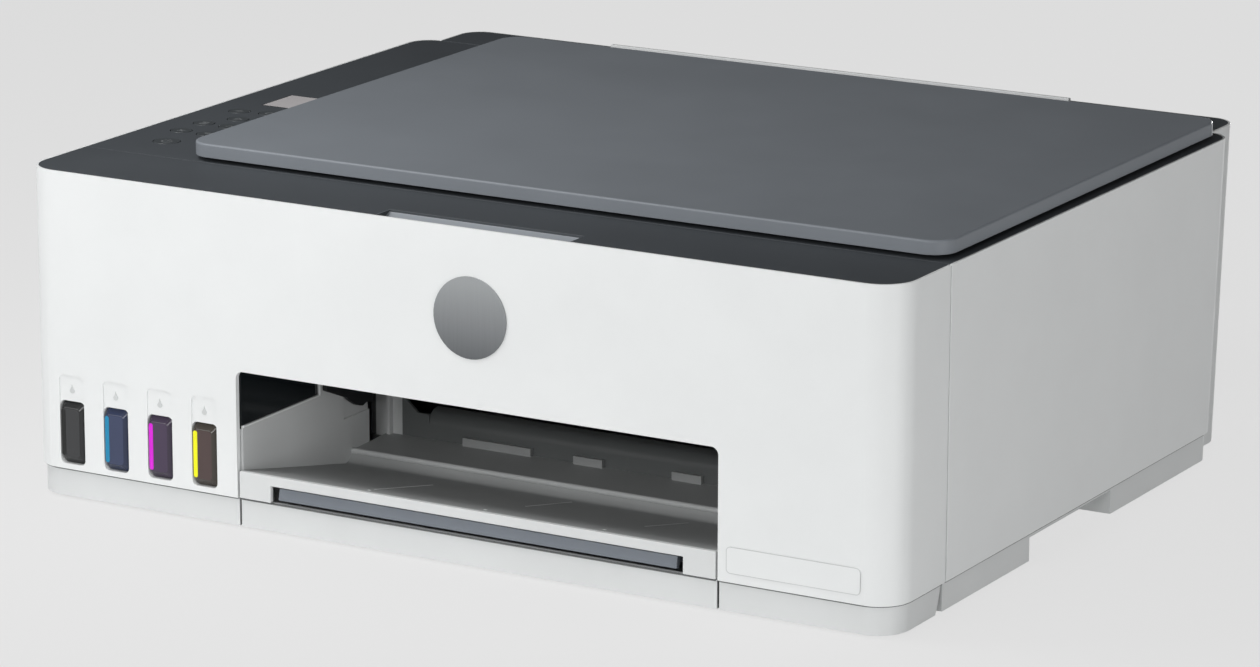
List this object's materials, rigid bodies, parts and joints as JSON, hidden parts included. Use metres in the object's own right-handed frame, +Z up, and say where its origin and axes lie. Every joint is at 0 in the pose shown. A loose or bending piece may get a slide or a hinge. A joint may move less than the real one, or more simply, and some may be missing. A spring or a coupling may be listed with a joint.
{
  "type": "inkjet printer",
  "caption": "Desktop inkjet printer with refillable ink tanks, flatbed scanner, drop-down front door, rear sheet feed and output tray.",
  "frame": {"origin": "centre of the footprint, on the plane that the feet stand on", "axes": "+X to the right seen from the front, +Y from the front to the back, +Z up"},
  "size_m": [0.4346, 0.362, 0.158],
  "materials": {
    "white_casing": "satin",
    "pale_base": "satin",
    "grey_casing": "satin",
    "deck_grey": "satin",
    "lid_grey": "satin",
    "tray_grey": "matte",
    "extender_blue_grey": "satin",
    "white_foam": "matte",
    "black_plastic": "matte",
    "smoked_panel": "gloss",
    "display": "gloss",
    "key_grey": "satin",
    "tank_clear": "gloss",
    "smoked_lens": "gloss",
    "cap_black": "matte",
    "cap_cyan": "matte",
    "cap_magenta": "matte",
    "cap_yellow": "matte",
    "tube_dark": "satin",
    "latch_blue": "satin",
    "steel": "brushed",
    "sheet_metal": "satin",
    "black_rubber": "matte",
    "roller_rubber": "matte",
    "glass": "gloss",
    "gear_white": "satin",
    "board_green": "satin"
  },
  "bodies": {
    "base": {"base_pan": "pale_base", "left_side_panel": "white_casing", "right_side_panel": "white_casing", "rear_cover": "grey_casing", "rear_deck": "deck_grey", "scanner_deck": "deck_grey", "display_window": "display", "lid_hinges": "black_plastic", "circuit_boards": "board_green", "ink_tanks": "tank_clear", "tank_windows": "smoked_lens", "ink_tubes": "tube_dark", "bay_liner": "grey_casing", "bay_window": "smoked_panel", "output_tray": "tray_grey", "tray_front": "white_casing", "guide_rods": "steel", "chassis": "sheet_metal", "carriage_belt": "black_rubber", "service_station": "tray_grey", "drive_motors": "sheet_metal", "scan_glass": "glass", "scanner_tub": "black_plastic", "rear_chute": "black_plastic", "platen": "black_plastic", "power_unit": "black_plastic", "feet": "black_rubber", "screws": "steel"},
    "door": {"door_shell": "white_casing", "door_top_strip": "deck_grey", "door_trims": "pale_base"},
    "lid": {"scanner_lid": "lid_grey", "lid_pad": "white_foam"},
    "power_button": {"power_key": "key_grey"},
    "cap_k": {"cap_black": "cap_black"},
    "cap_c": {"cap_cyan": "cap_cyan"},
    "cap_m": {"cap_magenta": "cap_magenta"},
    "cap_y": {"cap_yellow": "cap_yellow"},
    "extender": {"tray_extender": "extender_blue_grey"},
    "extension": {"tray_extension": "extender_blue_grey"},
    "carriage_set": {"carriage": "black_plastic", "printheads": "black_plastic"},
    "latch": {"head_latch": "latch_blue"},
    "motor_wheel": {"motor_pulley": "steel"},
    "idler_wheel": {"idler_pulley": "gear_white"},
    "scanner_bar": {"scan_bar": "black_plastic"},
    "support": {"paper_support": "grey_casing"},
    "shield": {"shield_flap": "deck_grey"},
    "feed": {"feed_roller": "roller_rubber"},
    "output": {"output_roller": "roller_rubber"},
    "drive": {"drive_gear": "gear_white"},
    "pickup": {"pickup_roller": "roller_rubber"},
    "guide": {"width_guide": "tray_grey"},
    "button_1": {"key_1": "key_grey"},
    "button_2": {"key_2": "key_grey"},
    "button_3": {"key_3": "key_grey"},
    "button_4": {"key_4": "key_grey"},
    "button_5": {"key_5": "key_grey"},
    "button_6": {"key_6": "key_grey"},
    "button_7": {"key_7": "key_grey"}
  },
  "joints": [
    {"name": "door_swing", "type": "hinge", "parent": "base", "child": "door", "pos_m": [0, -0.17575, 0.014], "axis": [1, 0, 0], "range_deg": [0, 88]},
    {"name": "lid_swing", "type": "hinge", "parent": "base", "child": "lid", "pos_m": [0, 0.14075, 0.1544], "axis": [-1, 0, 0], "range_deg": [0, 88]},
    {"name": "power_press", "type": "slide", "parent": "base", "child": "power_button", "axis": [0, 0, -1], "range_m": [0, 0.0007], "stiffness_N_per_m": 450, "springref_m": -0.0012},
    {"name": "press_1", "type": "slide", "parent": "base", "child": "button_1", "axis": [0, 0, -1], "range_m": [0, 0.0007], "stiffness_N_per_m": 450, "springref_m": -0.0012},
    {"name": "press_2", "type": "slide", "parent": "base", "child": "button_2", "axis": [0, 0, -1], "range_m": [0, 0.0007], "stiffness_N_per_m": 450, "springref_m": -0.0012},
    {"name": "press_3", "type": "slide", "parent": "base", "child": "button_3", "axis": [0, 0, -1], "range_m": [0, 0.0007], "stiffness_N_per_m": 450, "springref_m": -0.0012},
    {"name": "press_4", "type": "slide", "parent": "base", "child": "button_4", "axis": [0, 0, -1], "range_m": [0, 0.0007], "stiffness_N_per_m": 450, "springref_m": -0.0012},
    {"name": "press_5", "type": "slide", "parent": "base", "child": "button_5", "axis": [0, 0, -1], "range_m": [0, 0.0007], "stiffness_N_per_m": 450, "springref_m": -0.0012},
    {"name": "press_6", "type": "slide", "parent": "base", "child": "button_6", "axis": [0, 0, -1], "range_m": [0, 0.0007], "stiffness_N_per_m": 450, "springref_m": -0.0012},
    {"name": "press_7", "type": "slide", "parent": "base", "child": "button_7", "axis": [0, 0, -1], "range_m": [0, 0.0007], "stiffness_N_per_m": 450, "springref_m": -0.0012},
    {"name": "cap_k_swing", "type": "hinge", "parent": "base", "child": "cap_k", "pos_m": [-0.1932, -0.14175, 0.0825], "axis": [-1, 0, 0], "range_deg": [0, 100]},
    {"name": "cap_c_swing", "type": "hinge", "parent": "base", "child": "cap_c", "pos_m": [-0.1696, -0.14175, 0.0825], "axis": [-1, 0, 0], "range_deg": [0, 100]},
    {"name": "cap_m_swing", "type": "hinge", "parent": "base", "child": "cap_m", "pos_m": [-0.146, -0.14175, 0.0825], "axis": [-1, 0, 0], "range_deg": [0, 100]},
    {"name": "cap_y_swing", "type": "hinge", "parent": "base", "child": "cap_y", "pos_m": [-0.1224, -0.14175, 0.0825], "axis": [-1, 0, 0], "range_deg": [0, 100]},
    {"name": "extender_slide", "type": "slide", "parent": "base", "child": "extender", "axis": [0, -0.9787, 0.2055], "range_m": [0, 0.055]},
    {"name": "extension_slide", "type": "slide", "parent": "extender", "child": "extension", "axis": [0, -0.9787, 0.2055], "range_m": [0, 0.05]},
    {"name": "carriage_slide", "type": "slide", "parent": "base", "child": "carriage_set", "axis": [-1, 0, 0], "range_m": [0, 0.32]},
    {"name": "latch_swing", "type": "hinge", "parent": "carriage_set", "child": "latch", "pos_m": [0.171, -0.04375, 0.073], "axis": [1, 0, 0], "range_deg": [0, 85]},
    {"name": "motor_wheel_spin", "type": "hinge", "parent": "base", "child": "motor_wheel", "pos_m": [0.196, 0.02775, 0.092], "axis": [0, 1, 0], "continuous": true},
    {"name": "idler_wheel_spin", "type": "hinge", "parent": "base", "child": "idler_wheel", "pos_m": [-0.196, 0.02775, 0.092], "axis": [0, 1, 0], "continuous": true},
    {"name": "scan_slide", "type": "slide", "parent": "base", "child": "scanner_bar", "axis": [1, 0, 0], "range_m": [0, 0.3]},
    {"name": "support_slide", "type": "slide", "parent": "base", "child": "support", "axis": [0, 0.0698, 0.9976], "range_m": [0, 0.08]},
    {"name": "shield_swing", "type": "hinge", "parent": "base", "child": "shield", "pos_m": [0, 0.15305, 0.1486], "axis": [1, 0, 0], "range_deg": [0, 100]},
    {"name": "feed_spin", "type": "hinge", "parent": "base", "child": "feed", "pos_m": [0, 0.01925, 0.044], "axis": [1, 0, 0], "continuous": true},
    {"name": "output_spin", "type": "hinge", "parent": "base", "child": "output", "pos_m": [0, -0.04475, 0.044], "axis": [1, 0, 0], "continuous": true},
    {"name": "drive_spin", "type": "hinge", "parent": "base", "child": "drive", "pos_m": [0, -0.01275, 0.02982], "axis": [1, 0, 0], "continuous": true},
    {"name": "pickup_spin", "type": "hinge", "parent": "base", "child": "pickup", "pos_m": [0, 0.14125, 0.085], "axis": [1, 0, 0], "continuous": true},
    {"name": "guide_slide", "type": "slide", "parent": "base", "child": "guide", "axis": [1, 0, 0], "range_m": [0, 0.09]}
  ],
  "couplings": [
    {"joint": "motor_wheel_spin", "follows": "carriage_slide", "rad_per_m": 175.44},
    {"joint": "idler_wheel_spin", "follows": "carriage_slide", "rad_per_m": 175.44},
    {"joint": "output_spin", "follows": "feed_spin", "ratio": 1},
    {"joint": "drive_spin", "follows": "feed_spin", "ratio": -1.3333}
  ]
}
